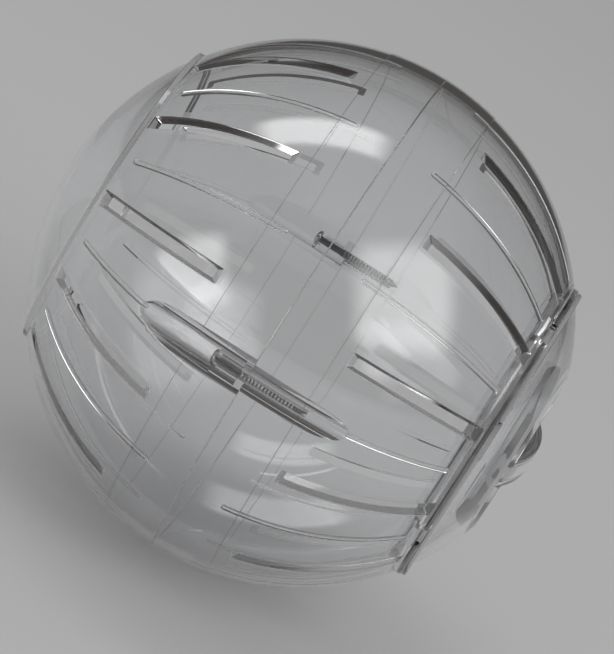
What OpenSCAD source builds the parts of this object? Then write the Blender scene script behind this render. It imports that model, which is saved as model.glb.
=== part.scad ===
// Clear hamster ball of two screwed halves with a round lift-off door.
// The ball's axis runs along +X towards the door, and the centre is the origin.
// The closing screws lie in the XY plane, one on each side of the ball.

/* [Ball] */
// Outer diameter at the belt around the middle
ball_d = 127; // [115:1:140]
// Wall thickness of the two shells
wall_t = 1.8; // [1.5:0.1:2.4]
// Width of the slightly raised belt, half of it on each shell
belt_w = 27.8; // [22:0.2:30]
// Height of the belt above the rest of the shell
belt_rise = 0.2; // [0.1:0.05:0.4]

/* [Vent slots] */
// Number of open slots around each shell
slot_count = 12; // [8:2:14]
// Width of a slot at the outside of the wall
slot_mouth_w = 3.7; // [3:0.1:4.4]
// Width of a slot at the inside of the wall
slot_throat_w = 2.1; // [1.5:0.1:2.9]
// Distance along the wall from the seam to the start of a slot
slot_start = 17; // [15.5:0.5:24]
// Distance along the wall that the sloping end near the seam takes up
slot_ramp = 2; // [1:0.1:2.4]
// Space between the collar and the straight end of a slot
slot_land = 0.6; // [0.4:0.1:6]

/* [Grip ribs] */
// Width of the ribs inside the wall, one between each two slots
rib_w = 1.1; // [0.8:0.1:1.6]
// Height of a rib above the inside of the wall
rib_rise = 0.6; // [0.4:0.1:1]
// Distance along the wall from the seam to the start of a rib
rib_start = 9.6; // [7:0.2:14]
// Wall left between the end of a rib and the collar
rib_land = 1.2; // [1:0.1:6]

/* [Closing screws] */
// Distance from the outside of the ball in to a screw's axis
screw_inset = 4; // [3.6:0.1:4.6]
// Diameter of the screw's shank
screw_d = 2.2; // [1.8:0.1:2.6]
// Length of the screw below its head
screw_l = 22.4; // [16:0.2:23]
// Diameter of the screw's head
head_d = 3.8; // [3.2:0.1:4.4]
// Thickness of the screw's head
head_t = 1.3; // [1:0.1:1.8]
// Height of the rounded crown within that thickness
head_crown = 0.6; // [0.4:0.1:0.8]
// Depth from the seam to the seat of the head
seat_depth = 8; // [6:0.2:10]
// Width of the open pocket that leads to the head
pocket_w = 6; // [5:0.1:6.6]
// Wall around that pocket, where it bulges into the ball
pocket_wall = 1.5; // [1.2:0.1:1.8]
// Thickness of the plate that the head rests on
seat_t = 0.9; // [0.8:0.1:1.4]
// Diameter of the relief around the shank behind that plate
relief_d = 3.8; // [3.2:0.1:4.4]
// Diameter of the boss that takes the screw's thread
boss_d = 6.6; // [5.4:0.1:7.4]
// Length of the boss's spigot, which centres one shell in the other
spigot_l = 1.7; // [1.2:0.1:2.2]
// Clearance around the spigot in its socket
spigot_gap = 0.1; // [0.05:0.05:0.2]
// Clearance around the shank in the seat plate
shank_gap = 0.15; // [0.1:0.05:0.3]
// Clearance around the shank in the threaded boss
thread_gap = 0.02; // [0.01:0.01:0.05]
// Depth left below the screw's tip
tip_gap = 0.6; // [0.3:0.1:1]

/* [Doorway] */
// Inner diameter of the doorway
mouth_d = 73.6; // [66:0.2:76]
// Wall thickness of the collar around the doorway
collar_t = 1.8; // [1.4:0.1:2.2]
// Height of the collar above the ball at its outer edge
collar_rise = 1.3; // [1:0.1:1.8]
// Depth of the collar from its flat top into the ball
collar_depth = 3.6; // [3:0.1:4.2]

/* [Door] */
// Thickness of the flange that rests on the collar
flange_t = 1.1; // [0.8:0.1:1.6]
// How far the flange stays inside the collar's outer edge
flange_inset = 0.3; // [0.1:0.1:0.6]
// Clearance between the flange and the collar's flat top
flange_gap = 0.05; // [0.02:0.01:0.2]
// Thickness of the skirt that goes into the doorway
skirt_t = 1.5; // [1.2:0.1:2]
// Clearance between the skirt and the doorway
skirt_gap = 0.3; // [0.2:0.05:0.5]
// Thickness of a locking lug
lug_t = 1.2; // [1:0.1:1.6]
// Width of a locking lug
lug_w = 6; // [4:0.2:8]
// Clearance above and beside a lug
lug_gap = 0.3; // [0.2:0.05:0.5]
// Width of a finger scallop in the flange
scallop_w = 12.6; // [8:0.2:16]
// Depth of a finger scallop
scallop_depth = 0.9; // [0.5:0.1:1.2]
// Diameter of the dished grip in the middle
dish_d = 40; // [32:1:48]
// Depth of the dish below its rim
dish_depth = 4.5; // [3:0.1:6]
// Width of the bar across the dish
bar_w = 7; // [6:0.1:9]
// Wall thickness of the dish and the bar
dish_wall = 1.5; // [1.2:0.1:1.8]

/* [Hidden] */
$fn = 128;

ball_r = ball_d / 2;
cap_r = ball_r - belt_rise;
bore_r = cap_r - wall_t;
overrun = wall_t;

slot_pitch = 360 / slot_count;

screw_r = ball_r - screw_inset;
pocket_r = pocket_w / 2;
bulge_r = pocket_r + pocket_wall;
boss_r = boss_d / 2;
// Latitudes past which the bulge and the boss have run into the wall
bulge_end = acos((screw_r - bulge_r) / bore_r);
boss_end = acos((screw_r - boss_r) / bore_r);

mouth_r = mouth_d / 2;
collar_r = mouth_r + collar_t;
collar_top = sqrt(cap_r * cap_r - collar_r * collar_r) + collar_rise;
collar_foot = collar_top - collar_depth;

// Latitudes between which a slot is swept, and of the middles of a rib's round ends
slot_end_r = collar_r + slot_land;
slot_low = along_wall(slot_start, cap_r);
slot_high = acos(slot_end_r / (cap_r + overrun));
rib_low = along_wall(rib_start + rib_w / 2, bore_r);
rib_high = acos(collar_r / bore_r) - along_wall(rib_land + rib_w / 2, bore_r);

// Lugs and their notches lie in line with ribs, clear of the slots
lug_count = 4;
lug_turn = 30;
scallop_turn = -15;
skirt_r = mouth_r - skirt_gap;
skirt_in = skirt_r - skirt_t;
lug_top = collar_foot - lug_gap;
lug_foot = lug_top - lug_t;
lug_r = collar_r - lug_gap;
flange_r = collar_r - flange_inset;
flange_foot = collar_top + flange_gap;
flange_top = flange_foot + flange_t;
dish_r = dish_d / 2;
dish_floor = sqrt(cap_r * cap_r - dish_r * dish_r) - dish_depth;

// Angle that a length along a round wall spans
function along_wall(length, radius) = length / radius * 180 / PI;

// Turns a shape drawn about +Z to lie about +X, with its own +X facing -Y
module about_ball_axis() {
    rotate([-90, 0, 0])
        rotate([0, 90, 0])
            children();
}

// Children repeated around the ball's axis
module ring_of(count, first = 0) {
    for (i = [0 : count - 1])
        rotate([0, 0, first + i * 360 / count])
            children();
}

// The two places of the closing screws
module at_screws() {
    ring_of(2)
        translate([screw_r, 0, 0])
            children();
}

// Sweeps a profile along a meridian, from one latitude to another
module along_meridian(from, to) {
    rotate([90, 0, 0])
        rotate([0, 0, from])
            rotate_extrude(angle = to - from)
                children();
}

// Places children radially at one latitude, with their +Z pointing outwards
module at_latitude(latitude) {
    rotate([0, 90 - latitude, 0])
        children();
}

// Tapered cutter of one vent slot: it slopes in near the seam and ends upright near the collar
module slot_cutter() {
    reach = wall_t + 2 * overrun;
    flare = (slot_mouth_w - slot_throat_w) / 2 / wall_t * overrun;
    throat = slot_throat_w / 2 - flare;
    mouth = slot_mouth_w / 2 + flare;
    difference() {
        along_meridian(slot_low, slot_high)
            translate([bore_r - overrun, 0])
                polygon([[0, -throat], [reach, -mouth], [reach, mouth], [0, throat]]);
        at_latitude(slot_low)
            translate([0, 0, cap_r])
                rotate([0, atan(slot_ramp / wall_t), 0])
                    translate([0, -slot_mouth_w, -2 * reach])
                        cube([reach, 2 * slot_mouth_w, 3 * reach]);
        cylinder(r = slot_end_r, h = ball_r);
    }
}

// One grip rib on the inside of the wall, with round ends
module rib(from) {
    root = overrun / 2;
    along_meridian(from, rib_high)
        translate([bore_r - rib_rise, -rib_w / 2])
            square([rib_rise + root, rib_w]);
    for (latitude = [from, rib_high])
        at_latitude(latitude)
            translate([0, 0, bore_r - rib_rise])
                cylinder(d = rib_w, h = rib_rise + root, $fn = 32);
}

// All ribs of a shell: those in line with a screw start where its boss has ended
module ribs(screw_rib_from) {
    for (i = [0 : slot_count - 1])
        rotate([0, 0, i * slot_pitch])
            rib(i % (slot_count / 2) == 0 ? screw_rib_from : rib_low);
}

// Outside of a shell as a solid: belt, rounded cap and the flat-topped ring near the pole
module shell_outside() {
    rotate_extrude() {
        intersection() {
            circle(cap_r);
            square(ball_r);
        }
        intersection() {
            circle(ball_r);
            square([ball_r, belt_w / 2]);
        }
        square([collar_r, collar_top]);
    }
}

// A shell without its slots: children are what stands into the hollow
module shell() {
    difference() {
        shell_outside();
        difference() {
            sphere(bore_r);
            children();
        }
        ring_of(slot_count, slot_pitch / 2)
            slot_cutter();
    }
}

// Boss of a closing screw as far as the inside of the wall, a little larger by the gap
module spigot(length, gap) {
    intersection() {
        translate([screw_r, 0, 0])
            cylinder(r = boss_r + gap, h = length + gap);
        cylinder(r = bore_r - spigot_gap + gap, h = length + gap);
    }
}

// Closed shell, drawn with its pole up: pockets, seats and sockets for the screws and spigots
module closed_shell() {
    difference() {
        shell() {
            at_screws()
                cylinder(r = bulge_r, h = ball_r);
            ribs(bulge_end);
        }
        at_screws() {
            translate([0, 0, seat_depth])
                cylinder(r = pocket_r, h = ball_r);
            translate([0, -pocket_r, seat_depth])
                cube([ball_r, pocket_w, ball_r]);
            translate([0, 0, -overrun])
                cylinder(d = screw_d + 2 * shank_gap, h = seat_depth + 2 * overrun);
            translate([0, 0, -overrun])
                cylinder(d = relief_d, h = overrun + seat_depth - seat_t);
        }
        ring_of(2)
            spigot(spigot_l, spigot_gap);
    }
}

module closed_half() {
    color([0.86, 0.88, 0.89, 0.4])
        about_ball_axis()
            mirror([0, 0, 1])
                closed_shell();
}

// Collar that lines the doorway below its flat top
module collar() {
    difference() {
        translate([0, 0, collar_foot])
            cylinder(r = collar_r, h = collar_depth);
        cylinder(r = mouth_r, h = ball_r);
    }
}

// Notch in the collar that lets one lug of the door through
module lug_notch() {
    width = lug_w + 2 * lug_gap;
    translate([skirt_in, -width / 2, collar_foot - overrun])
        cube([collar_r + lug_gap - skirt_in, width, collar_depth + 2 * overrun]);
}

// Shell with the doorway, drawn with its pole up
module door_shell() {
    difference() {
        union() {
            shell() {
                at_screws()
                    cylinder(r = boss_r, h = ball_r);
                ribs(boss_end);
                collar();
            }
            mirror([0, 0, 1])
                ring_of(2)
                    spigot(spigot_l, 0);
        }
        translate([0, 0, collar_foot - overrun])
            cylinder(r = mouth_r, h = ball_r);
        ring_of(lug_count, lug_turn)
            lug_notch();
        at_screws()
            translate([0, 0, -spigot_l - overrun])
                cylinder(d = screw_d + 2 * thread_gap, h = spigot_l + overrun + screw_l - seat_depth + tip_gap);
    }
}

module door_half() {
    color([0.86, 0.88, 0.89, 0.4])
        about_ball_axis()
            door_shell();
}

// Half outline of the round door: domed plate, flange, skirt and dished middle
module door_outline() {
    intersection() {
        difference() {
            circle(cap_r);
            circle(bore_r);
        }
        translate([dish_r, collar_foot])
            square([skirt_r - dish_r, ball_r]);
    }
    translate([skirt_in, lug_foot])
        square([skirt_t, flange_top - lug_foot]);
    translate([skirt_in, flange_foot])
        square([flange_r - skirt_in, flange_t]);
    intersection() {
        circle(cap_r);
        translate([dish_r, dish_floor - dish_wall])
            square([dish_wall, ball_r]);
    }
    translate([0, dish_floor - dish_wall])
        square([dish_r + dish_wall, dish_wall]);
}

// Hollow bar across the dish, to turn and pull the door by
module grip_bar() {
    intersection() {
        sphere(cap_r);
        translate([-dish_r - dish_wall / 2, -bar_w / 2, dish_floor - dish_wall])
            cube([dish_d + dish_wall, bar_w, ball_r]);
    }
}

module grip_bar_hollow() {
    width = bar_w - 2 * dish_wall;
    intersection() {
        sphere(bore_r);
        translate([-dish_r, -width / 2, dish_floor - 2 * dish_wall])
            cube([dish_d, width, ball_r]);
    }
}

// One lug at the foot of the skirt
module lug() {
    intersection() {
        translate([skirt_in + skirt_t / 2, -lug_w / 2, lug_foot])
            cube([collar_r, lug_w, lug_t]);
        cylinder(r = lug_r, h = ball_r);
    }
}

// One shallow scallop cut into the edge of the flange
module scallop_cutter() {
    scallop_r = (scallop_w * scallop_w / 4 + scallop_depth * scallop_depth) / 2 / scallop_depth;
    translate([flange_r - scallop_depth + scallop_r, 0, flange_foot - overrun])
        cylinder(r = scallop_r, h = flange_t + 2 * overrun);
}

module door() {
    color([0.86, 0.88, 0.89, 0.4])
        about_ball_axis()
            difference() {
                union() {
                    rotate_extrude()
                        door_outline();
                    grip_bar();
                    ring_of(lug_count, lug_turn)
                        lug();
                }
                grip_bar_hollow();
                ring_of(lug_count, scallop_turn)
                    scallop_cutter();
            }
}

// Half outline of a pan-head screw with a pointed tip, drawn with its tip up
module screw_outline() {
    crown_r = (head_d * head_d / 4 + head_crown * head_crown) / 2 / head_crown;
    intersection() {
        translate([0, -seat_depth - head_t])
            square([head_d / 2, head_t]);
        translate([0, -seat_depth - head_t + crown_r])
            circle(crown_r);
    }
    translate([0, -seat_depth])
        square([screw_d / 2, screw_l - screw_d]);
    translate([0, screw_l - seat_depth - screw_d])
        polygon([[0, 0], [screw_d / 2, 0], [screw_d / 8, screw_d], [0, screw_d]]);
}

// Closing screw: its head sits in the pocket and its tip is in the boss
module screw() {
    color("silver")
        about_ball_axis()
            translate([screw_r, 0, 0])
                rotate_extrude()
                    screw_outline();
}

module front_screw() {
    screw();
}

module rear_screw() {
    rotate([180, 0, 0])
        screw();
}

closed_half();
door_half();
door();
front_screw();
rear_screw();
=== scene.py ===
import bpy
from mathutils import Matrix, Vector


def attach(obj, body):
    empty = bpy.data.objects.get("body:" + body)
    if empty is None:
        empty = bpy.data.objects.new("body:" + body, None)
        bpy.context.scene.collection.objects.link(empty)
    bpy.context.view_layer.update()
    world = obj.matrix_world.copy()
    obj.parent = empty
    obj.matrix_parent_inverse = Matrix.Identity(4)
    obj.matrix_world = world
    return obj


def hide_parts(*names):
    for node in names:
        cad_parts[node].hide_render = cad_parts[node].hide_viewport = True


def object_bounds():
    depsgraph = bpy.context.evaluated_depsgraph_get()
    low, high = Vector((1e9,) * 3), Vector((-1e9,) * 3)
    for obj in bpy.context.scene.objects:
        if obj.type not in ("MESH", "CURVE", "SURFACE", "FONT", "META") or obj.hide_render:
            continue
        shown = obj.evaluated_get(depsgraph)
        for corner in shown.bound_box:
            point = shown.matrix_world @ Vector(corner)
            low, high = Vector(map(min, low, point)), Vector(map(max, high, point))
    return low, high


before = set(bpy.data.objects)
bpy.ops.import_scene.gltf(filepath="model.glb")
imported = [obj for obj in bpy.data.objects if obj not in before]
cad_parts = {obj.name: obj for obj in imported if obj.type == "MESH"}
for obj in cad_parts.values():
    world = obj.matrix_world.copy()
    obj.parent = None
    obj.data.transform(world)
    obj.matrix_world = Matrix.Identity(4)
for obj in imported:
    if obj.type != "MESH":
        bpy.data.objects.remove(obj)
cad_box = [list(corner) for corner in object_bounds()]

from math import acos, asin, atan2, ceil, copysign, cos, pi, radians, sin, sqrt, tan

import bmesh
import bpy
from mathutils import Matrix, Vector
from mathutils.geometry import delaunay_2d_cdt

# Camera.
# It stands a metre off, looks a little down on the ball, and is turned about its own view
# so that the ball's axis, with the door at its end, runs down to the right.
mm = 0.001
door_turned_to_camera = radians(2.36)
looks_down_by = radians(17.6)
axis_slopes_down_by = radians(32.4)
camera_distance = 1040 * mm
picture_height = 654  # in pixels, as the next two
ball_left_of_middle, ball_above_middle = 6.1, 13.9


def put_in(name, data):
    """A new object in the scene."""
    ob = bpy.data.objects.new(name, data)
    bpy.context.scene.collection.objects.link(ob)
    return ob


def aimed(right, back, distance):
    """Where something stands that looks at the ball's centre, from its right side and its back."""
    axes = Matrix((right, back.cross(right), back)).transposed().to_4x4()
    return Matrix.Translation(back * distance) @ axes


to_camera = Vector((
    sin(door_turned_to_camera) * cos(looks_down_by),
    -cos(door_turned_to_camera) * cos(looks_down_by),
    sin(looks_down_by),
))
axis_seen = (Vector((1, 0, 0)) - to_camera * to_camera.x).normalized()
picture_right = Matrix.Rotation(axis_slopes_down_by, 3, to_camera) @ axis_seen
camera = put_in("camera", bpy.data.cameras.new("camera"))
camera.matrix_world = aimed(picture_right, to_camera, camera_distance)
camera.data.sensor_fit = "VERTICAL"
camera.data.sensor_height = 36
camera.data.lens = 248.2
camera.data.shift_x = ball_left_of_middle / picture_height
camera.data.shift_y = -ball_above_middle / picture_height
camera.data.clip_start = 10 * mm
bpy.context.scene.camera = camera

# Clear polystyrene, of which both shells and the door are moulded. Broad faces are polished but a
# little uneven, with faint hairlines and a fine haze. Walls of slots, ribs and edges get a greyer
# colour as painted shade, and so do the seam and the corner along the belt.
ball_r = (cad_box[1][2] - cad_box[0][2]) / 2
belt_rise = 0.2 * mm
belt_half_w = 13.9 * mm
cap_r = ball_r - belt_rise
outer_faces_from = cap_r - 0.05 * mm

clear_tint = (0.975, 0.98, 0.985, 1)
# Painted shade for walls cut straight in, such as those of slots and ribs.
wall_shade_grey = (0.36, 0.355, 0.35, 1)
# Painted shade for the seam and the corner along the belt.
seam_shade_grey = (0.55, 0.54, 0.52, 1)
straight_way_tint = (0.95, 0.953, 0.957, 1)
shadow_tint = (0.79, 0.79, 0.793, 1)
waviness, wave_height = 0.02, 1 * mm
hairline_scale, hairline_amount = 900.0, 0.06
hairline_stretch = (1.0, 0.05, 1.0)
hairline_from, hairline_full = 0.66, 0.74
haze_patch_scale, haze_from, haze_full = 170.0, 0.45, 0.7
# Where that painted shade is full and where it fades out, from the seam and from the belt's edge.
shade_full_in_seam, shade_ends_at_seam = 0.12 * mm, 0.22 * mm
shade_full_at_belt, shade_ends_at_belt = 0.08 * mm, 0.18 * mm

# How square a face is to the ball's radius: 1 on the broad walls, 0 on a wall cut straight in.
# Between these two a face gets part of the painted shade of cut walls, and less square faces get
# all of it.
full_shade_below, no_shade_above = 0.5, 0.92
steep_below = 0.9
# How many faces a ray has met, and how far it goes when it crosses the inside of the ball.
through_near_wall, through_much, caught_after = 2, 3, 4
across_inside = 15 * mm


def new_group(name, kind, inputs, outputs):
    """A node tree with its sockets. Inputs are (name, kind, value), outputs are (name, kind)."""
    tree = bpy.data.node_groups.new(name, kind)
    for label, socket, value in inputs:
        item = tree.interface.new_socket(label, in_out="INPUT", socket_type=socket)
        if value is not None:
            item.default_value = value
    for label, socket in outputs:
        tree.interface.new_socket(label, in_out="OUTPUT", socket_type=socket)
    return tree


def add(tree, kind, settings=(), **inputs):
    """Adds a node. An input has its name, or i and its number, and a value or another's output."""
    node = tree.nodes.new(kind)
    for key, value in dict(settings).items():
        setattr(node, key, value)
    for key, value in inputs.items():
        numbered = key[0] == "i" and key[1:].isdigit()
        socket = node.inputs[int(key[1:]) if numbered else key.replace("_", " ")]
        if isinstance(value, bpy.types.NodeSocket):
            tree.links.new(value, socket)
        else:
            socket.default_value = value
    return node


def calc(tree, operation, *values):
    """The result of a Math node."""
    inputs = {f"i{k}": value for k, value in enumerate(values)}
    return add(tree, "ShaderNodeMath", {"operation": operation}, **inputs).outputs[0]


def fade(tree, value, start, end, first=0.0, last=1.0, curve="SMOOTHSTEP"):
    """Goes from first to last while the value goes from start to end."""
    return add(tree, "ShaderNodeMapRange", {"interpolation_type": curve},
               i0=value, i1=start, i2=end, i3=first, i4=last).outputs[0]


def mixed(tree, share, first, second):
    """A colour between two, which is the second one where the share is 1."""
    return add(tree, "ShaderNodeMix", {"data_type": "RGBA"},
               i0=share, i6=first, i7=second).outputs[2]


moulded_finish = new_group(
    "moulded_finish", "ShaderNodeTree",
    [
        ("Coordinates", "NodeSocketVector", None),
        ("Flow Scale", "NodeSocketFloat", 40.0),
        ("Hairline Scale", "NodeSocketFloat", hairline_scale),
        ("Haze", "NodeSocketFloat", 0.02),
        ("Hairlines", "NodeSocketFloat", hairline_amount),
        ("Belt Edge", "NodeSocketFloat", belt_half_w),
        ("Outside From", "NodeSocketFloat", outer_faces_from),
    ],
    [("Roughness", "NodeSocketFloat"), ("Height", "NodeSocketFloat"), ("Dust", "NodeSocketFloat")],
)
inside = moulded_finish.nodes.new("NodeGroupInput")
coordinates = inside.outputs["Coordinates"]
flow = add(moulded_finish, "ShaderNodeTexNoise", Vector=coordinates,
           Scale=inside.outputs["Flow Scale"], Detail=2.0, Roughness=0.5)
patches = add(moulded_finish, "ShaderNodeTexNoise", Vector=coordinates,
              Scale=haze_patch_scale, Detail=3.0, Roughness=0.6)
patches_seen = fade(moulded_finish, patches.outputs["Fac"], haze_from, haze_full, curve="LINEAR")
stretched = add(moulded_finish, "ShaderNodeVectorMath", {"operation": "MULTIPLY"},
                i0=coordinates, i1=hairline_stretch)
hairline = add(moulded_finish, "ShaderNodeTexNoise", Vector=stretched.outputs[0],
               Scale=inside.outputs["Hairline Scale"], Detail=4.0, Roughness=0.7)
hairline_seen = fade(moulded_finish, hairline.outputs["Fac"],
                     hairline_from, hairline_full, curve="LINEAR")
hairlines = calc(moulded_finish, "MULTIPLY", hairline_seen, inside.outputs["Hairlines"])
haze = calc(moulded_finish, "MULTIPLY", patches_seen, inside.outputs["Haze"])
total = calc(moulded_finish, "ADD", hairlines, haze)
# Painted shade: a mask that is 1 in the seam and in the outer corner along the belt.
apart = add(moulded_finish, "ShaderNodeSeparateXYZ", i0=coordinates)
from_seam = calc(moulded_finish, "ABSOLUTE", apart.outputs["X"])
in_seam = fade(moulded_finish, from_seam, shade_full_in_seam, shade_ends_at_seam, 1.0, 0.0)
past_belt = calc(moulded_finish, "SUBTRACT", from_seam, inside.outputs["Belt Edge"])
off_belt = calc(moulded_finish, "ABSOLUTE", past_belt)
at_belt = fade(moulded_finish, off_belt, shade_full_at_belt, shade_ends_at_belt, 1.0, 0.0)
from_centre = add(moulded_finish, "ShaderNodeVectorMath", {"operation": "LENGTH"}, i0=coordinates)
outer = calc(moulded_finish, "GREATER_THAN",
             from_centre.outputs["Value"], inside.outputs["Outside From"])
in_corner = calc(moulded_finish, "MULTIPLY", at_belt, outer)
seam_shade = calc(moulded_finish, "MAXIMUM", in_seam, in_corner)
add(moulded_finish, "NodeGroupOutput", Roughness=total, Height=flow.outputs["Fac"], Dust=seam_shade)


def clear_polystyrene(name, flow_scale, haze_amount):
    """Clear plastic. Light on its way to the floor goes straight through, and so does a ray that is
    caught in a wall, or that meets a small steep face, such as a slot's, on the far side."""
    material = bpy.data.materials.new(name)
    material.use_nodes = True
    tree = material.node_tree
    tree.nodes.clear()
    place = add(tree, "ShaderNodeTexCoord")
    finish = add(tree, "ShaderNodeGroup", {"node_tree": moulded_finish},
                 Coordinates=place.outputs["Object"], Flow_Scale=flow_scale,
                 Hairline_Scale=hairline_scale, Haze=haze_amount, Hairlines=hairline_amount,
                 Belt_Edge=belt_half_w, Outside_From=outer_faces_from)
    bump = add(tree, "ShaderNodeBump", Strength=waviness, Distance=wave_height,
               Height=finish.outputs["Height"])
    outwards = add(tree, "ShaderNodeVectorMath", {"operation": "NORMALIZE"},
                   i0=place.outputs["Object"])
    facing = add(tree, "ShaderNodeVectorMath", {"operation": "DOT_PRODUCT"},
                 i0=outwards.outputs[0], i1=place.outputs["Normal"])
    slant = calc(tree, "ABSOLUTE", facing.outputs["Value"])
    # Painted shade: walls cut straight in get a greyer colour, the more the less square they are.
    wall_shade = fade(tree, slant, full_shade_below, no_shade_above, 1.0, 0.0)
    walls_shaded = mixed(tree, wall_shade, clear_tint, wall_shade_grey)
    # Painted shade in the seam and along the belt's corner.
    seam_shaded = mixed(tree, finish.outputs["Dust"], walls_shaded, seam_shade_grey)
    plastic = add(tree, "ShaderNodeBsdfPrincipled", Base_Color=seam_shaded, IOR=1.59,
                  Transmission_Weight=1.0, Roughness=finish.outputs["Roughness"],
                  Normal=bump.outputs["Normal"])
    ray = add(tree, "ShaderNodeLightPath")
    faces_met = ray.outputs["Ray Depth"]
    steep = calc(tree, "LESS_THAN", slant, steep_below)
    past_near_wall = calc(tree, "GREATER_THAN", faces_met, through_near_wall - 0.5)
    crossed = calc(tree, "GREATER_THAN", ray.outputs["Ray Length"], across_inside)
    far_side = calc(tree, "MULTIPLY", past_near_wall, crossed)
    deep = calc(tree, "GREATER_THAN", faces_met, through_much - 0.5)
    behind = calc(tree, "MAXIMUM", far_side, deep)
    small_face = calc(tree, "MULTIPLY", steep, behind)
    caught = calc(tree, "GREATER_THAN", faces_met, caught_after - 0.5)
    straight = calc(tree, "MAXIMUM", small_face, caught)
    clear_way = add(tree, "ShaderNodeBsdfTransparent", Color=straight_way_tint)
    seen = add(tree, "ShaderNodeMixShader", i0=straight,
               i1=plastic.outputs[0], i2=clear_way.outputs[0])
    lighting = calc(tree, "MAXIMUM", ray.outputs["Is Shadow Ray"], ray.outputs["Is Diffuse Ray"])
    shaded_way = add(tree, "ShaderNodeBsdfTransparent", Color=shadow_tint)
    both = add(tree, "ShaderNodeMixShader", i0=lighting,
               i1=seen.outputs[0], i2=shaded_way.outputs[0])
    add(tree, "ShaderNodeOutputMaterial", Surface=both.outputs[0])
    return material


# The closed half, one of two injection-moulded shells of clear polystyrene. It has a low belt at
# the seam, twelve tapered vent slots, a grip rib between each two, and a pocket bulging into the
# ball on either side for the head of a closing screw.
wall_t = 1.8 * mm
bore_r = cap_r - wall_t
collar_r, collar_rise = 38.6 * mm, 1.3 * mm
collar_top = sqrt(cap_r ** 2 - collar_r ** 2) + collar_rise
seam_gap = 0.05 * mm
shell_plastic = clear_polystyrene("shell_plastic", flow_scale=40.0, haze_amount=0.02)

slot_count = 12
slot_mouth_w, slot_throat_w = 3.7 * mm, 2.1 * mm
slot_start, slot_ramp, slot_land = 17 * mm, 2 * mm, 0.6 * mm
slot_corner = 0.35 * mm
slot_mouth_edge, slot_throat_edge = 0.3 * mm, 0.2 * mm
rib_w, rib_rise, rib_draft = 1.1 * mm, 0.6 * mm, 0.05 * mm
rib_start, rib_land = 9.6 * mm, 1.2 * mm
rib_foot_edge, rib_top_edge = 0.15 * mm, 0.3 * mm
seam_inner_edge, seam_outer_edge = 0.15 * mm, 0.12 * mm
belt_edge, belt_foot_edge = 0.1 * mm, 0.06 * mm
shoulder_foot_edge, shoulder_edge, shoulder_end_edge = 0.15 * mm, 0.3 * mm, 0.1 * mm

screw_r = ball_r - 4 * mm
seat_depth, seat_t = 8 * mm, 0.9 * mm
pocket_r, pocket_steps = 3 * mm, 36
pocket_open_r = ball_r + 5 * mm
bulge_r = pocket_r + 1.5 * mm
boss_r = 3.3 * mm
spigot_l, spigot_gap = 1.7 * mm, 0.1 * mm
relief_r, shank_hole_r, hole_steps = 1.9 * mm, 1.25 * mm, 40

collar_latitude = acos(collar_r / cap_r)
slot_low = slot_start / cap_r
rib_low = (rib_start + rib_w / 2) / bore_r
rib_high = acos(collar_r / bore_r) - (rib_land + rib_w / 2) / bore_r
outer_strip_top, inner_strip_top = radians(13.6), radians(6)
shoulder_latitude, inner_latitude = radians(52.15), radians(50.95)
shoulder_in = sqrt(cap_r ** 2 - collar_top ** 2)

sector_angle = 2 * pi / slot_count
sector_steps, rib_at = 12, 0.25
latitude_step = radians(2.2)
side_steps, end_steps, corner_steps = 30, 12, 6
same_place = 0.001 * mm
overshoot = 1 * mm
past_dome = 45 * mm


def rounded(corners, step=radians(16)):
    """A profile's points. A corner is (across, along, fillet radius), and step is a fillet's
    largest turn from one point to the next."""
    line = []
    for i, (x, y, radius) in enumerate(corners):
        p = Vector((x, y))
        if not radius:
            line.append(p)
            continue
        a, b = (Vector(corners[k][:2]) - p for k in (i - 1, i + 1))
        a.normalize()
        b.normalize()
        half = a.angle(b) / 2
        middle = p + (a + b).normalized() * radius / sin(half)
        start = p + a * radius / tan(half) - middle
        end = p + b * radius / tan(half) - middle
        turn = copysign(pi - 2 * half, start.cross(end))
        steps = ceil(abs(turn) / step)
        line += [middle + Matrix.Rotation(turn * k / steps, 2) @ start for k in range(steps + 1)]
    return line


def arc(radius, low, high, step=latitude_step):
    """Points of a round wall in a section through the ball's axis, as unrounded corners."""
    at_pole = 1e-6
    steps = max(1, ceil(abs(high - low) / step))
    angles = [low + (high - low) * k / steps for k in range(steps + 1)]
    return [(radius * cos(a) if abs(a - pi / 2) > at_pole else 0, radius * sin(a), 0)
            for a in angles]


def around(r, h, azimuth, side):
    """The point at radius r from the axis and h from the seam, to the door (1) or away (-1)."""
    return Vector((side * h, -r * cos(azimuth), -r * sin(azimuth)))


def new_face(bm, *corners):
    """A face between corners, some of which may be one point."""
    bm.faces.new(list(dict.fromkeys(corners)))


def band(bm, profile, azimuths, side):
    """Turns a profile of (radius, height) points about the ball's axis through the azimuths."""
    rings = []
    for r, h in profile:
        if r > same_place:
            rings.append([bm.verts.new(around(r, h, a, side)) for a in azimuths])
        else:
            rings.append([bm.verts.new(around(0, h, 0, side))] * len(azimuths))
    for lower, upper in zip(rings, rings[1:]):
        for i in range(len(azimuths) - 1):
            new_face(bm, lower[i], lower[i + 1], upper[i + 1], upper[i])


def skin(bm, loops):
    """The walls between each closed loop of points and the next."""
    for a, b in zip(loops, loops[1:]):
        for k in range(len(a)):
            n = (k + 1) % len(a)
            new_face(bm, a[k], a[n], b[n], b[k])


def rib_outline(low, high, half_w):
    """Stations round a rib with round ends: latitude of its spine, and how far across and along."""
    climb = [low + (high - low) * k / side_steps for k in range(side_steps + 1)]
    turn = [pi * k / end_steps for k in range(1, end_steps)]
    stations = (
        [(latitude, 0) for latitude in climb] + [(high, t) for t in turn]
        + [(latitude, pi) for latitude in reversed(climb)] + [(low, pi + t) for t in turn]
    )
    return [(latitude, half_w * cos(t), half_w * sin(t)) for latitude, t in stations]


def slot_edge(half_w, rho):
    """How far the rounded edge of a slot reaches past its straight wall."""
    taper = (slot_mouth_w - slot_throat_w) / 2
    return half_w - slot_throat_w / 2 - taper * (rho - bore_r) / wall_t


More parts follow.
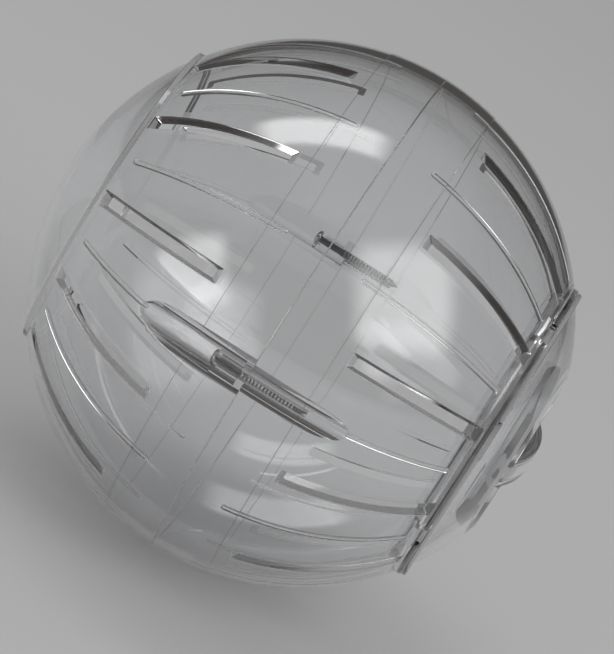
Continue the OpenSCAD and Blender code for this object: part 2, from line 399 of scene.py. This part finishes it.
def slot_outline(half_w, rho):
    """Stations round a slot at one depth, a long rectangle with small round corners, likewise."""
    edge = slot_edge(half_w, rho)
    corner = slot_corner + edge
    low = slot_low + atan2((cap_r - rho) * slot_ramp / wall_t - edge, rho)
    high = acos((collar_r + slot_land - edge) / rho)
    side_from, side_to, straight = low + corner / rho, high - corner / rho, half_w - corner
    turn = [pi / 2 * k / corner_steps for k in range(corner_steps + 1)]
    upper = [(side_to + corner / rho * sin(t), straight + corner * cos(t)) for t in turn]
    lower = [(side_from - corner / rho * sin(t), straight + corner * cos(t)) for t in turn]
    climb = [side_from + (side_to - side_from) * k / side_steps for k in range(1, side_steps)]
    end = [straight * (1 - 2 * k / corner_steps) for k in range(1, corner_steps)]
    stations = (
        [(latitude, half_w) for latitude in climb] + upper + [(high, across) for across in end]
        + [(latitude, -across) for latitude, across in reversed(upper)]
        + [(latitude, -half_w) for latitude in reversed(climb)]
        + [(latitude, -across) for latitude, across in lower] + [(low, -across) for across in end]
        + list(reversed(lower))
    )
    return [(latitude, across, 0) for latitude, across in stations]


def beside(azimuth, station, rho, side):
    """The point of an outline's station at radius rho from the centre, round the azimuth."""
    latitude, across, along = station
    out = around(cos(latitude), sin(latitude), azimuth, side)
    up = around(-sin(latitude), cos(latitude), azimuth, side)
    sideways = Vector((0, sin(azimuth), -cos(azimuth)))
    return out * sqrt(rho ** 2 - across ** 2 - along ** 2) + sideways * across + up * along


def opening(azimuth, stations, corner, rho, side):
    """A hole in a round wall: azimuth, half width, ends, corner radius and points of its edge."""
    reach = [latitude + along / rho for latitude, _, along in stations]
    return (azimuth, max(s[1] for s in stations), min(reach), max(reach), corner,
            [beside(azimuth, s, rho, side) for s in stations])


def wall_patch(bm, rho, low, high, azimuths, holes, side):
    """A stretch of round wall with holes in it."""
    steps = ceil((high - low) / latitude_step)
    latitudes = [low + (high - low) * k / steps for k in range(steps + 1)]
    room_beside_hole = rho * latitude_step / 3
    one_point, inside_hole = 1e-7, -0.003 * mm

    def nearest_hole(p):
        """How far a point of the wall is outside the nearest hole, below zero inside it."""
        gaps = []
        for azimuth, half_w, start, end, corner, _ in holes:
            across = p.dot(Vector((0, sin(azimuth), -cos(azimuth))))
            latitude = asin(side * p.x / sqrt(rho ** 2 - across ** 2))
            x = abs(across) - half_w + corner
            y = (abs(latitude - (start + end) / 2) - (end - start) / 2) * rho + corner
            gaps.append(sqrt(max(x, 0) ** 2 + max(y, 0) ** 2) + min(max(x, y), 0) - corner)
        return min(gaps)

    flat, places, edges = [], [], []
    for i, azimuth in enumerate(azimuths):
        for j, latitude in enumerate(latitudes):
            p = around(rho * cos(latitude), rho * sin(latitude), azimuth, side)
            on_edge = i in (0, len(azimuths) - 1) or j in (0, steps)
            if on_edge or nearest_hole(p) > room_beside_hole:
                flat.append(Vector((azimuth, latitude)))
                places.append(p)
    for hole in holes:
        first, points = len(flat), hole[-1]
        for p in points:
            flat.append(Vector((atan2(-p.z, -p.y), asin(side * p.x / rho))))
            places.append(p)
        edges += [(first + k, first + (k + 1) % len(points)) for k in range(len(points))]
    _, _, faces, origins, _, _ = delaunay_2d_cdt(flat, edges, [], 0, one_point)
    verts = {}
    for face in faces:
        corners = [origins[k][0] for k in face]
        middle = sum((places[k] for k in corners), Vector()) / 3
        if nearest_hole(middle.normalized() * rho) < inside_hole:
            continue
        for k in corners:
            if k not in verts:
                verts[k] = bm.verts.new(places[k])
        bm.faces.new([verts[k] for k in corners])


def cleft(bm, outlines, closed):
    """The walls between the outlines of a slot, or of a rib with its top closed."""
    loops = [[bm.verts.new(p) for p in points] for points in outlines]
    skin(bm, loops)
    if closed:
        quarter = end_steps // 2
        top = loops[-1][-quarter:] + loops[-1][:-quarter]
        for k in range(len(top) // 2):
            new_face(bm, top[k], top[k + 1], top[-k - 1], top[-k])


# Profiles of slot and rib are (half width, distance from the centre, fillet radius), and those of
# a whole shell or the door are (distance from the axis, height over the seam, fillet radius).
slot_profile = rounded([
    (slot_mouth_w / 2 + overshoot, cap_r, 0),
    (slot_mouth_w / 2, cap_r, slot_mouth_edge),
    (slot_throat_w / 2, bore_r, slot_throat_edge),
    (slot_throat_w / 2 + overshoot, bore_r, 0),
])[1:-1]
rib_profile = rounded([
    (rib_w / 2 + overshoot, bore_r, 0),
    (rib_w / 2 + rib_draft, bore_r, rib_foot_edge),
    (rib_w / 2 - rib_draft, bore_r - rib_rise, rib_top_edge),
    (0, bore_r - rib_rise, 0),
])[1:-1]
# Each arc stops a fraction of a degree short of the next corner, to leave room for its fillet.
seam_profile = rounded(
    arc(bore_r, inner_strip_top, radians(0.5))
    + [(bore_r, seam_gap / 2, seam_inner_edge), (ball_r, seam_gap / 2, seam_outer_edge)]
    + arc(ball_r, radians(0.3), asin(belt_half_w / ball_r) - radians(0.15))
    + [
        (sqrt(ball_r ** 2 - belt_half_w ** 2), belt_half_w, belt_edge),
        (sqrt(cap_r ** 2 - belt_half_w ** 2), belt_half_w, belt_foot_edge),
    ]
    + arc(cap_r, asin(belt_half_w / cap_r) + radians(0.12), outer_strip_top)
)
shoulder = (
    arc(cap_r, shoulder_latitude, collar_latitude - radians(0.2))
    + [(collar_r, collar_top - collar_rise, shoulder_foot_edge)]
)
closed_pole_profile = rounded(
    shoulder
    + [(collar_r, collar_top, shoulder_edge), (shoulder_in, collar_top, shoulder_end_edge)]
    + arc(cap_r, asin(collar_top / cap_r) + radians(0.3), pi / 2)
)


def finished(name, bm):
    """The mesh as an object in the scene."""
    mesh = bpy.data.meshes.new(name)
    bm.to_mesh(mesh)
    bm.free()
    return put_in(name, mesh)


def sector(name, side, rib_from, pole_profiles):
    """A twelfth of a shell: a rib a quarter of the way across it, and a slot at three quarters."""
    bm = bmesh.new()
    azimuths = [sector_angle * (k / sector_steps - rib_at) for k in range(sector_steps + 1)]
    slot = [opening(sector_angle / 2, slot_outline(half_w, rho),
                    slot_corner + slot_edge(half_w, rho), rho, side)
            for half_w, rho in slot_profile]
    rib = [opening(0, rib_outline(rib_from, rib_high, half_w), half_w, rho, side)
           for half_w, rho in rib_profile]
    wall_patch(bm, cap_r, outer_strip_top, shoulder_latitude, azimuths, slot[:1], side)
    wall_patch(bm, bore_r, inner_strip_top, inner_latitude, azimuths, [slot[-1], rib[0]], side)
    cleft(bm, [level[-1] for level in slot], False)
    cleft(bm, [level[-1] for level in rib], True)
    for profile in [seam_profile] + pole_profiles:
        band(bm, profile, azimuths, side)
    bmesh.ops.remove_doubles(bm, verts=bm.verts, dist=same_place)
    return finished(name, bm)


ring_tree = new_group(
    "ring_of_sectors", "GeometryNodeTree",
    [
        ("Plain", "NodeSocketObject", None),
        ("At Screws", "NodeSocketObject", None),
        ("Count", "NodeSocketInt", slot_count),
        ("Merge", "NodeSocketFloat", same_place * 2),
        ("Material", "NodeSocketMaterial", None),
    ],
    [("Geometry", "NodeSocketGeometry")],
)
inside = ring_tree.nodes.new("NodeGroupInput")
count = inside.outputs["Count"]
points = add(ring_tree, "GeometryNodePoints", i0=count)
number = add(ring_tree, "GeometryNodeInputIndex").outputs[0]
turn = calc(ring_tree, "DIVIDE", 2 * pi, count)
angle = calc(ring_tree, "MULTIPLY", number, turn)
heading = add(ring_tree, "ShaderNodeCombineXYZ", X=angle)
half_count = calc(ring_tree, "DIVIDE", count, 2.0)
place_in_half = calc(ring_tree, "MODULO", number, half_count)
at_screw = add(ring_tree, "FunctionNodeCompare", {"data_type": "FLOAT", "operation": "LESS_THAN"},
               i0=place_in_half, i1=0.5)
elsewhere = add(ring_tree, "FunctionNodeBooleanMath", {"operation": "NOT"}, i0=at_screw.outputs[0])
joined = add(ring_tree, "GeometryNodeJoinGeometry")
for label, chosen in (("Plain", elsewhere), ("At Screws", at_screw)):
    info = add(ring_tree, "GeometryNodeObjectInfo", Object=inside.outputs[label])
    copies = add(ring_tree, "GeometryNodeInstanceOnPoints", Points=points.outputs[0],
                 Selection=chosen.outputs[0], Instance=info.outputs["Geometry"],
                 Rotation=heading.outputs[0])
    ring_tree.links.new(copies.outputs[0], joined.inputs[0])
real = add(ring_tree, "GeometryNodeRealizeInstances", Geometry=joined.outputs[0])
welded = add(ring_tree, "GeometryNodeMergeByDistance", Geometry=real.outputs[0],
             Distance=inside.outputs["Merge"])
painted = add(ring_tree, "GeometryNodeSetMaterial", Geometry=welded.outputs[0],
              Material=inside.outputs["Material"])
add(ring_tree, "NodeGroupOutput", i0=painted.outputs[0])


def as_plain_mesh(ob):
    """Gives the object the mesh that its modifiers make, and takes them off."""
    bpy.context.view_layer.update()
    evaluated = ob.evaluated_get(bpy.context.evaluated_depsgraph_get())
    made = bpy.data.meshes.new_from_object(evaluated)
    ob.modifiers.clear()
    ob.data = made


def grown(name, tree, values):
    """A plain mesh object made by a geometry tree with the given inputs."""
    ob = put_in(name, bpy.data.meshes.new(name))
    modifier = ob.modifiers.new(name, "NODES")
    modifier.node_group = tree
    for item in tree.interface.items_tree:
        if item.in_out == "INPUT" and item.name in values:
            modifier[item.identifier] = values[item.name]
    as_plain_mesh(ob)
    ob.data.name = name
    return ob


def turned_outwards(ob):
    """Makes the faces of a closed mesh point outwards."""
    bm = bmesh.new()
    bm.from_mesh(ob.data)
    bmesh.ops.recalc_face_normals(bm, faces=bm.faces)
    bm.to_mesh(ob.data)
    bm.free()


def closed_body(name, loops):
    """A body between its first loop of points and its last one."""
    bm = bmesh.new()
    rows = [[bm.verts.new(p) for p in points] for points in loops]
    skin(bm, rows)
    bm.faces.new(rows[0])
    bm.faces.new(rows[-1])
    bmesh.ops.recalc_face_normals(bm, faces=bm.faces)
    return finished(name, bm)


def prism(name, outline, low, high, side):
    """A bar along the ball's axis, in front. Its outline is (sideways, distance from the axis)."""
    return closed_body(name, [[(side * h, -r, -t) for t, r in outline] for h in (low, high)])


def bars_at_screws(name, outline, low, high, side):
    """Such a bar at the front screw, and another half a turn further, at the rear one."""
    ob = prism(name, outline, low, high, side)
    bm = bmesh.new()
    bm.from_mesh(ob.data)
    again = bmesh.ops.duplicate(bm, geom=bm.verts[:] + bm.edges[:] + bm.faces[:])
    moved = [item for item in again["geom"] if isinstance(item, bmesh.types.BMVert)]
    bmesh.ops.rotate(bm, verts=moved, cent=(0, 0, 0), matrix=Matrix.Rotation(pi, 3, "X"))
    bm.to_mesh(ob.data)
    bm.free()
    return ob


def round_outline(radius, centre_r, steps=72):
    """The outline of a round bar round a point at centre_r from the axis."""
    return [(radius * sin(2 * pi * k / steps), centre_r - radius * cos(2 * pi * k / steps))
            for k in range(steps)]


def ball(name, radius):
    """A ball round the centre, to trim a shape with."""
    bm = bmesh.new()
    bmesh.ops.create_uvsphere(bm, u_segments=128, v_segments=96, radius=radius)
    return finished(name, bm)


def joined_with(ob, operation, tool):
    """Adds the tool's shape to ob, cuts it out, or keeps what both share, and uses the tool up."""
    modifier = ob.modifiers.new("tool", "BOOLEAN")
    modifier.operation = operation
    modifier.solver = "MANIFOLD"
    modifier.object = tool
    as_plain_mesh(ob)
    bpy.data.objects.remove(tool)


def polished(ob, material, walls=(), crisp=radians(20)):
    """Smooth faces with crisp edges, and exactly round walls at these radii from the centre."""
    round_enough = 0.93
    mesh = ob.data
    mesh.materials.clear()
    mesh.materials.append(material)
    mesh.polygons.foreach_set("material_index", [0] * len(mesh.polygons))
    mesh.shade_smooth()
    mesh.set_sharp_from_angle(angle=crisp)
    normals = [Vector(n.vector) for n in mesh.corner_normals]
    for face in mesh.polygons:
        for k in face.loop_indices:
            p = mesh.vertices[mesh.loops[k].vertex_index].co
            if any(abs(p.length - r) < 2 * same_place for r in walls):
                out = p.normalized()
                facing = out.dot(face.normal)
                if abs(facing) > round_enough:
                    normals[k] = out * copysign(1, facing)
    mesh.normals_split_custom_set(normals)


def half_shell(name, side, rib_from, pole_profiles):
    """A shell of twelve sectors. The ribs at the screws start further up, at rib_from."""
    plain = sector(name + "_sector", side, rib_low, pole_profiles)
    at_screws = sector(name + "_screw_sector", side, rib_from, pole_profiles)
    shell = grown(name, ring_tree, {"Plain": plain, "At Screws": at_screws,
                                    "Count": slot_count, "Material": shell_plastic})
    for ob in (plain, at_screws):
        bpy.data.objects.remove(ob)
    turned_outwards(shell)
    return shell


closed_shell = half_shell("closed_shell", -1, acos((screw_r - bulge_r) / bore_r), [
    closed_pole_profile, rounded(arc(bore_r, inner_latitude, pi / 2))])
bulges = bars_at_screws("bulges", round_outline(bulge_r, screw_r), seam_gap / 2, past_dome, -1)
joined_with(bulges, "INTERSECT", ball("wall_middle", (cap_r + bore_r) / 2))
joined_with(closed_shell, "UNION", bulges)
pocket_bottom = [-pi * k / pocket_steps for k in range(pocket_steps + 1)]
pocket_outline = (
    [(pocket_r * cos(a), screw_r + pocket_r * sin(a)) for a in pocket_bottom]
    + [(-pocket_r, pocket_open_r), (pocket_r, pocket_open_r)]
)
relief_outline = round_outline(relief_r, screw_r, hole_steps)
shank_outline = round_outline(shank_hole_r, screw_r, hole_steps)
for label, outline, low, high in (
    ("pockets", pocket_outline, seat_depth, past_dome),
    ("relief", relief_outline, -overshoot, seat_depth - seat_t),
    ("shank_hole", shank_outline, -overshoot, seat_depth + overshoot),
):
    joined_with(closed_shell, "DIFFERENCE", bars_at_screws(label, outline, low, high, -1))
socket = bars_at_screws("socket", round_outline(boss_r + spigot_gap, screw_r),
                        -overshoot, spigot_l + spigot_gap, -1)
joined_with(socket, "INTERSECT", ball("socket_limit", bore_r))
joined_with(closed_shell, "DIFFERENCE", socket)
polished(closed_shell, shell_plastic, (ball_r, cap_r, bore_r))
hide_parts("closed_half")
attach(closed_shell, "ball")

# The half with the doorway, moulded of the same plastic and screwed to the closed half. A deep
# collar lines the doorway, with a notch for each of the door's four lugs, and a solid boss takes
# each closing screw.
mouth_r = 36.8 * mm
collar_foot = collar_top - 3.6 * mm
collar_edge, collar_root_edge = 0.25 * mm, 0.2 * mm
lug_count, lug_w, lug_gap = 4, 6 * mm, 0.3 * mm
lug_turn = radians(30)
screw_l, tip_gap = 22.4 * mm, 0.6 * mm
thread_hole_r = 1.12 * mm
notch_in, notch_out = 35 * mm, collar_r + lug_gap
notch_w = lug_w + 2 * lug_gap
notch_overshoot = 2 * mm

door_pole_profile = rounded(
    shoulder
    + [
        (collar_r, collar_top, collar_edge),
        (mouth_r, collar_top, collar_edge),
        (mouth_r, collar_foot, collar_edge),
        (collar_r, collar_foot, collar_root_edge),
    ]
    + list(reversed(arc(bore_r, inner_latitude, acos(collar_r / bore_r) - radians(0.1))))
)
door_shell = half_shell("doorway_shell", 1, acos((screw_r - boss_r) / bore_r), [door_pole_profile])
bosses = bars_at_screws("bosses", round_outline(boss_r, screw_r), seam_gap / 2, past_dome, 1)
joined_with(bosses, "INTERSECT", ball("wall_middle", (cap_r + bore_r) / 2))
joined_with(door_shell, "UNION", bosses)
spigots = bars_at_screws("spigots", round_outline(boss_r, screw_r), -spigot_l, overshoot, 1)
joined_with(spigots, "INTERSECT", ball("spigot_limit", bore_r - spigot_gap))
joined_with(door_shell, "UNION", spigots)
thread_holes = bars_at_screws("thread_holes", round_outline(thread_hole_r, screw_r, hole_steps),
                              -spigot_l - overshoot, screw_l - seat_depth + tip_gap, 1)
joined_with(door_shell, "DIFFERENCE", thread_holes)
notch_outline = [(notch_w / 2, notch_in), (-notch_w / 2, notch_in),
                 (-notch_w / 2, notch_out), (notch_w / 2, notch_out)]


def turned(ob, start, k):
    """Turns a tool about the ball's axis to the kth of four places, for lugs, notches, scallops."""
    ob.data.transform(Matrix.Rotation(start + 2 * pi * k / lug_count, 4, "X"))
    return ob


for k in range(lug_count):
    notch = prism("lug_notch", notch_outline,
                  collar_foot - notch_overshoot, collar_top + notch_overshoot, 1)
    joined_with(door_shell, "DIFFERENCE", turned(notch, lug_turn, k))
polished(door_shell, shell_plastic, (ball_r, cap_r, bore_r))
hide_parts("door_half")
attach(door_shell, "ball")

# The door, a clear moulded lid that rests on the collar by its flange, which has finger scallops.
# Its skirt goes into the doorway, with four locking lugs at its foot, which turn in under the
# collar. The middle is a dish with a hollow bar across it to turn the lid by.
flange_foot = collar_top + 0.05 * mm
flange_top = flange_foot + 1.1 * mm
flange_r = collar_r - 0.3 * mm
skirt_r = mouth_r - 0.3 * mm
skirt_in = skirt_r - 1.5 * mm
lug_top = collar_foot - lug_gap
lug_foot = lug_top - 1.2 * mm
lug_r = collar_r - lug_gap
lug_root_r, lug_edge, lug_steps = skirt_in + 0.75 * mm, 0.2 * mm, 8
scallop_w, scallop_depth, scallop_turn = 12.6 * mm, 0.9 * mm, radians(-15)
dish_r, dish_wall = 20 * mm, 1.5 * mm
dish_outer_r = dish_r + dish_wall
dish_top = sqrt(cap_r ** 2 - dish_r ** 2)
dish_floor = dish_top - 4.5 * mm
bar_w, bar_edge, bar_hollow_edge = 7 * mm, 0.7 * mm, 0.4 * mm
bar_below_dome = 0.15 * mm
bar_steps, bar_side = 48, 6 * mm
door_steps, scallop_steps = 180, 200
full_turn = [2 * pi * k / door_steps for k in range(door_steps + 1)]

door_profile = rounded(
    [(0, dish_floor, 0), (dish_r, dish_floor, 0.8 * mm), (dish_r, dish_top, 0.35 * mm)]
    + arc(cap_r, acos((dish_r + 0.4 * mm) / cap_r), asin(flange_top / cap_r) + radians(0.15),
          radians(1))
    + [
        (sqrt(cap_r ** 2 - flange_top ** 2), flange_top, 0.1 * mm),
        (flange_r, flange_top, 0.25 * mm),
        (flange_r, flange_foot, 0.2 * mm),
        (skirt_r, flange_foot, 0.15 * mm),
        (skirt_r, lug_foot, 0.25 * mm),
        (skirt_in, lug_foot, 0.25 * mm),
        (skirt_in, sqrt(bore_r ** 2 - skirt_in ** 2), 0.3 * mm),
    ]
    + arc(bore_r, acos(skirt_in / bore_r) + radians(0.4),
          acos(dish_outer_r / bore_r) - radians(0.4), radians(1))
    + [
        (dish_outer_r, sqrt(bore_r ** 2 - dish_outer_r ** 2), 0.3 * mm),
        (dish_outer_r, dish_floor - dish_wall, 0.6 * mm),
        (0, dish_floor - dish_wall, 0),
    ]
)
bm = bmesh.new()
band(bm, door_profile, full_turn, 1)
bmesh.ops.remove_doubles(bm, verts=bm.verts, dist=same_place)
door = finished("lift_off_door", bm)
turned_outwards(door)


def bridge(name, half_l, half_w, top_r, foot, edge):
    """A bar across the door with rounded edges, a top that follows a dome, and a flat foot."""
    section = rounded(
        [(-half_w, bar_side, 0), (-half_w, 0, edge)]
        + [(half_w * k / 3, 0, 0) for k in (-2, -1, 0, 1, 2)]
        + [(half_w, 0, edge), (half_w, bar_side, 0)]
    )
    rows = []
    for k in range(bar_steps + 1):
        along = half_l * (k / (bar_steps / 2) - 1)
        heights = [sqrt(top_r ** 2 - along ** 2 - across ** 2) - drop for across, drop in section]
        heights[0] = heights[-1] = foot
        rows.append([(h, -along, -across) for h, (across, _) in zip(heights, section)])
    return closed_body(name, rows)


joined_with(door, "UNION", bridge("grip_bar", dish_r + dish_wall / 2, bar_w / 2,
                                  cap_r - bar_below_dome, dish_floor - dish_wall / 2, bar_edge))
joined_with(door, "DIFFERENCE", bridge("grip_hollow", dish_r, bar_w / 2 - dish_wall,
                                       bore_r, dish_floor - 2 * dish_wall, bar_hollow_edge))
lug_outline = (
    [(lug_w / 2, lug_root_r), (-lug_w / 2, lug_root_r)]
    + [(t, sqrt(lug_r ** 2 - t ** 2))
       for t in [lug_w * (k / lug_steps - 0.5) for k in range(lug_steps + 1)]]
)
scallop_r = (scallop_w ** 2 / 4 + scallop_depth ** 2) / 2 / scallop_depth
scallop_outline = round_outline(scallop_r, flange_r - scallop_depth + scallop_r, scallop_steps)
for k in range(lug_count):
    lug = prism("lug", lug_outline, lug_foot, lug_top, 1)
    edges = lug.modifiers.new("edges", "BEVEL")
    edges.width, edges.segments, edges.angle_limit = lug_edge, 3, radians(40)
    joined_with(door, "UNION", turned(lug, lug_turn, k))
    scallop = prism("scallop", scallop_outline, flange_foot - overshoot, flange_top + overshoot, 1)
    joined_with(door, "DIFFERENCE", turned(scallop, scallop_turn, k))
door_plastic = clear_polystyrene("door_plastic", flow_scale=55.0, haze_amount=0.03)
polished(door, door_plastic, (cap_r, bore_r))
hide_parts("door")
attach(door, "door")

# The closing screws, two small self-tapping ones of zinc-plated steel with pan heads and cross
# recesses. Each goes through the seat plate of the closed half and cuts its thread into the
# other half's boss. Heads and thread crests keep the bright plating, and the thread's root and
# the shank are darker with painted shade.
head_r, head_t = 1.9 * mm, 1.3 * mm
head_top = -seat_depth - head_t
shank_r, thread_r = 0.85 * mm, 1.1 * mm
thread_pitch = 0.85 * mm
thread_from, thread_to = -1.8 * mm, 12.6 * mm
rows_in_turn, run_out_turns, flank_share = 10, 1.5, 0.36
tip_at, tip_r = screw_l - seat_depth, 0.12 * mm
recess_w, recess_l, recess_depth = 0.6 * mm, 2.3 * mm, 0.9 * mm
recess_overshoot, recess_mouth_share, recess_floor_share = 0.2 * mm, 1.15, 0.45
crown_share, crown_drop, head_side_drop = 0.55, 0.06 * mm, 0.6 * mm
grain_scale, grain_height = 2500.0, 0.05 * mm
zinc_dark, zinc_light = (0.42, 0.42, 0.43, 1), (0.72, 0.71, 0.69, 1)
# Painted shade for the thread's root and the shank.
root_shade_grey = (0.2, 0.195, 0.19, 1)
zinc_smoothest, zinc_roughest = 0.22, 0.45
screw_count, screw_steps = 2, 40
screw_profile = rounded([
    (0, head_top, 0),
    (head_r * crown_share, head_top + crown_drop, 1.5 * mm),
    (head_r, head_top + head_side_drop, 0.4 * mm),
    (head_r, -seat_depth, 0.12 * mm),
    (shank_r, -seat_depth, 0.1 * mm),
    (shank_r, thread_from, 0),
])
thread_rows = ceil((thread_to - thread_from) / thread_pitch * rows_in_turn)
thread_profile = [Vector((shank_r, thread_from + (thread_to - thread_from) * k / thread_rows))
                  for k in range(1, thread_rows + 1)]
tip_profile = rounded([
    (shank_r, thread_to, 0),
    (shank_r * 0.95, thread_to + 0.2 * mm, 0.2 * mm),
    (tip_r, tip_at, 0.05 * mm),
    (0, tip_at, 0),
])
screw_azimuths = [2 * pi * k / screw_steps for k in range(screw_steps)]


def thread_rise(h, azimuth):
    """How far the thread's sharp crest stands out of the shank here."""
    run_in = max(0, (h - thread_from) / thread_pitch)
    run_out = max(0, (thread_to - h) / thread_pitch / run_out_turns)
    in_turn = (h / thread_pitch - azimuth / 2 / pi) % 1
    crest = max(0, 1 - abs(in_turn - 0.5) / flank_share)
    return min(1, run_in, run_out) * (thread_r - shank_r) * crest


bm = bmesh.new()
rings = []
for r, h in screw_profile + thread_profile + tip_profile[1:]:
    if r < same_place:
        rings.append([bm.verts.new((h, -screw_r, 0))] * len(screw_azimuths))
        continue
    rings.append([])
    for azimuth in screw_azimuths:
        out = r + (thread_rise(h, azimuth) if thread_from < h < thread_to else 0)
        rings[-1].append(bm.verts.new((h, -screw_r - out * cos(azimuth), -out * sin(azimuth))))
skin(bm, rings)
bmesh.ops.recalc_face_normals(bm, faces=bm.faces)
one_screw = finished("one_screw", bm)

long, thin = recess_l / 2, recess_w / 2
cross = [
    (long, thin), (thin, thin), (thin, long), (-thin, long), (-thin, thin), (-long, thin),
    (-long, -thin), (-thin, -thin), (-thin, -long), (thin, -long), (thin, -thin), (long, -thin),
]
recess = closed_body("cross_recess", [
    [(h, -screw_r + y * share, z * share) for y, z in cross]
    for h, share in ((head_top - recess_overshoot, recess_mouth_share),
                     (head_top + recess_depth, recess_floor_share))
])
joined_with(one_screw, "DIFFERENCE", recess)

screw_zinc = bpy.data.materials.new("screw_zinc")
screw_zinc.use_nodes = True
tree = screw_zinc.node_tree
place = add(tree, "ShaderNodeTexCoord").outputs["Object"]
grain = add(tree, "ShaderNodeTexNoise", Vector=place, Scale=grain_scale, Detail=4.0).outputs["Fac"]
plating = add(tree, "ShaderNodeValToRGB", i0=grain)
plating.color_ramp.elements[0].color = zinc_dark
plating.color_ramp.elements[1].color = zinc_light
apart = add(tree, "ShaderNodeSeparateXYZ", i0=place)
off_axis = calc(tree, "SUBTRACT", calc(tree, "ABSOLUTE", apart.outputs["Y"]), screw_r)
section = add(tree, "ShaderNodeCombineXYZ", X=off_axis, Y=apart.outputs["Z"])
radius = add(tree, "ShaderNodeVectorMath", {"operation": "LENGTH"}, i0=section.outputs[0])
# Painted shade: darker at the shank and the thread's root, bright plating on crests and head.
crest = fade(tree, radius.outputs["Value"], shank_r, thread_r, curve="LINEAR")
head = calc(tree, "LESS_THAN", apart.outputs["X"], -seat_depth)
plating_and_shade = mixed(tree, calc(tree, "MAXIMUM", crest, head), root_shade_grey, plating.outputs[0])
dullness = fade(tree, grain, 0.0, 1.0, zinc_smoothest, zinc_roughest, curve="LINEAR")
relief = add(tree, "ShaderNodeBump", Strength=0.15, Distance=grain_height, Height=grain)
metal = tree.nodes["Principled BSDF"]
metal.inputs["Metallic"].default_value = 1
tree.links.new(plating_and_shade, metal.inputs["Base Color"])
tree.links.new(dullness, metal.inputs["Roughness"])
tree.links.new(relief.outputs[0], metal.inputs["Normal"])

screws = grown("closing_screws", ring_tree,
               {"At Screws": one_screw, "Count": screw_count, "Material": screw_zinc})
bpy.data.objects.remove(one_screw)
turned_outwards(screws)
polished(screws, screw_zinc, crisp=radians(40))
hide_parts("front_screw", "rear_screw")
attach(screws, "ball")

# The floor, the lamps and the room. A plain pale sheet of paper lies under the ball, in even light
# from all round, with soft boxes over it and on both sides of the camera. What the plastic and the
# screws mirror is a dimmer room.
floor_reach = 4
paper_grey = (0.44, 0.44, 0.442, 1)
lamp_distance = 1.5
room_dark, room_above = (0.07, 0.066, 0.062, 1), (0.4, 0.4, 0.41, 1)
room_light = (0.62, 0.62, 0.622, 1)
room_brightens_from = 0.7
picture_up = to_camera.cross(picture_right)

floor_mesh = bpy.data.meshes.new("floor")
floor_mesh.from_pydata([(floor_reach * x, floor_reach * y, -ball_r)
                        for x, y in ((-1, -1), (1, -1), (1, 1), (-1, 1))], [], [(0, 1, 2, 3)])
floor = put_in("floor", floor_mesh)
paper = bpy.data.materials.new("paper_sweep")
paper.use_nodes = True
paper.node_tree.nodes["Principled BSDF"].inputs["Base Color"].default_value = paper_grey
paper.node_tree.nodes["Principled BSDF"].inputs["Roughness"].default_value = 0.9
floor_mesh.materials.append(paper)


def soft_box(name, direction, width, height, power, soft_edge):
    """A lamp facing the ball, dimmer at its edges. Its direction is right, up and to the camera."""
    lamp = put_in(name, bpy.data.lights.new(name, "AREA"))
    lamp.data.shape = "RECTANGLE"
    lamp.data.size, lamp.data.size_y = width, height
    lamp.data.energy = power
    x, y, z = direction
    back = (picture_right * x + picture_up * y + to_camera * z).normalized()
    wide = (picture_right - back * picture_right.dot(back)).normalized()
    lamp.matrix_world = aimed(wide, back, lamp_distance)
    lamp.data.use_nodes = True
    tree = lamp.data.node_tree
    spot = add(tree, "ShaderNodeSeparateXYZ",
               i0=add(tree, "ShaderNodeNewGeometry").outputs["Parametric"])
    shares = []
    for axis in ("X", "Y"):
        off_middle = calc(tree, "ABSOLUTE", calc(tree, "SUBTRACT", spot.outputs[axis], 0.5))
        shares.append(fade(tree, off_middle, 0.5 - soft_edge, 0.5, 1.0, 0.0))
    strength = calc(tree, "MULTIPLY", *shares)
    tree.links.new(strength, tree.nodes["Emission"].inputs["Strength"])


soft_box("overhead_box", (0.12, 0.98, 0.17), width=1.3, height=0.45, power=5.8, soft_edge=0.2)
soft_box("left_box", (-0.71, 0.25, 0.67), width=1.0, height=0.95, power=8, soft_edge=0.25)
soft_box("right_box", (0.69, 0.1, 0.72), width=1.5, height=1.4, power=16, soft_edge=0.25)
world = bpy.data.worlds.new("studio")
world.use_nodes = True
tree = world.node_tree
sky = add(tree, "ShaderNodeSeparateXYZ", i0=add(tree, "ShaderNodeTexCoord").outputs["Generated"])
height = fade(tree, sky.outputs["Z"], room_brightens_from, 1.0)
surroundings = mixed(tree, height, room_dark, room_above)
ray = add(tree, "ShaderNodeLightPath").outputs
mirrored = calc(tree, "MAXIMUM", ray["Is Glossy Ray"], ray["Is Transmission Ray"])
shown = calc(tree, "MAXIMUM", mirrored, ray["Is Camera Ray"])
shade = mixed(tree, shown, room_light, surroundings)
tree.links.new(shade, tree.nodes["Background"].inputs["Color"])
bpy.context.scene.world = world
bpy.context.scene.view_settings.view_transform = "Standard"
